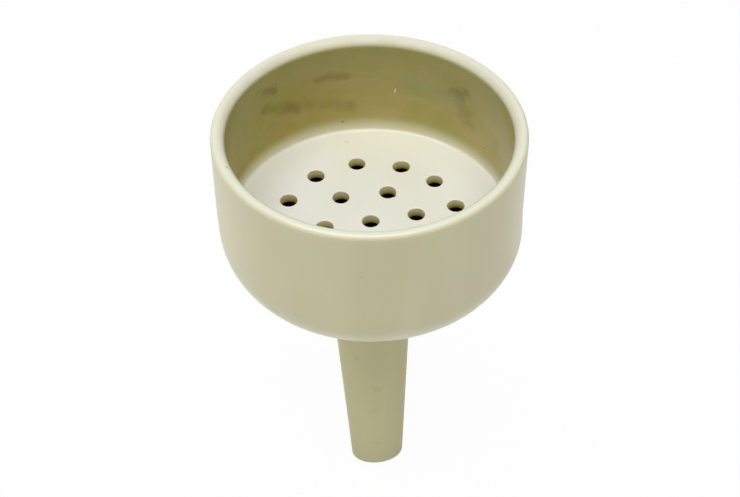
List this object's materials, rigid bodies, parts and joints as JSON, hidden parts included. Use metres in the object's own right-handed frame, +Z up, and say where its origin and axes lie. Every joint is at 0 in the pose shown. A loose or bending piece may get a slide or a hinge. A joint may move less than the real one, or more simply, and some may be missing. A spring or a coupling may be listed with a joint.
{
  "type": "porcelain filter funnel with a fixed perforated plate",
  "caption": "Porcelain vacuum filter funnel: straight-walled bowl with a fixed perforated plate, a chamber below it and a tapered stem with a slanted tip.",
  "frame": {"origin": "root of the stem, where the axis of the bowl and the axis of the stem cross below the bowl", "axes": "+Z up along the axis of the bowl, out of its mouth; the stem runs down and leans slightly towards +X; the tip is cut short on the side that faces -Y"},
  "size_m": [0.063, 0.063, 0.0975],
  "materials": {
    "glazed_porcelain": "cream porcelain under a soft clear glaze, bare and matte on the rim"
  },
  "bodies": {
    "root": {"funnel": "glazed_porcelain"}
  },
  "joints": []
}
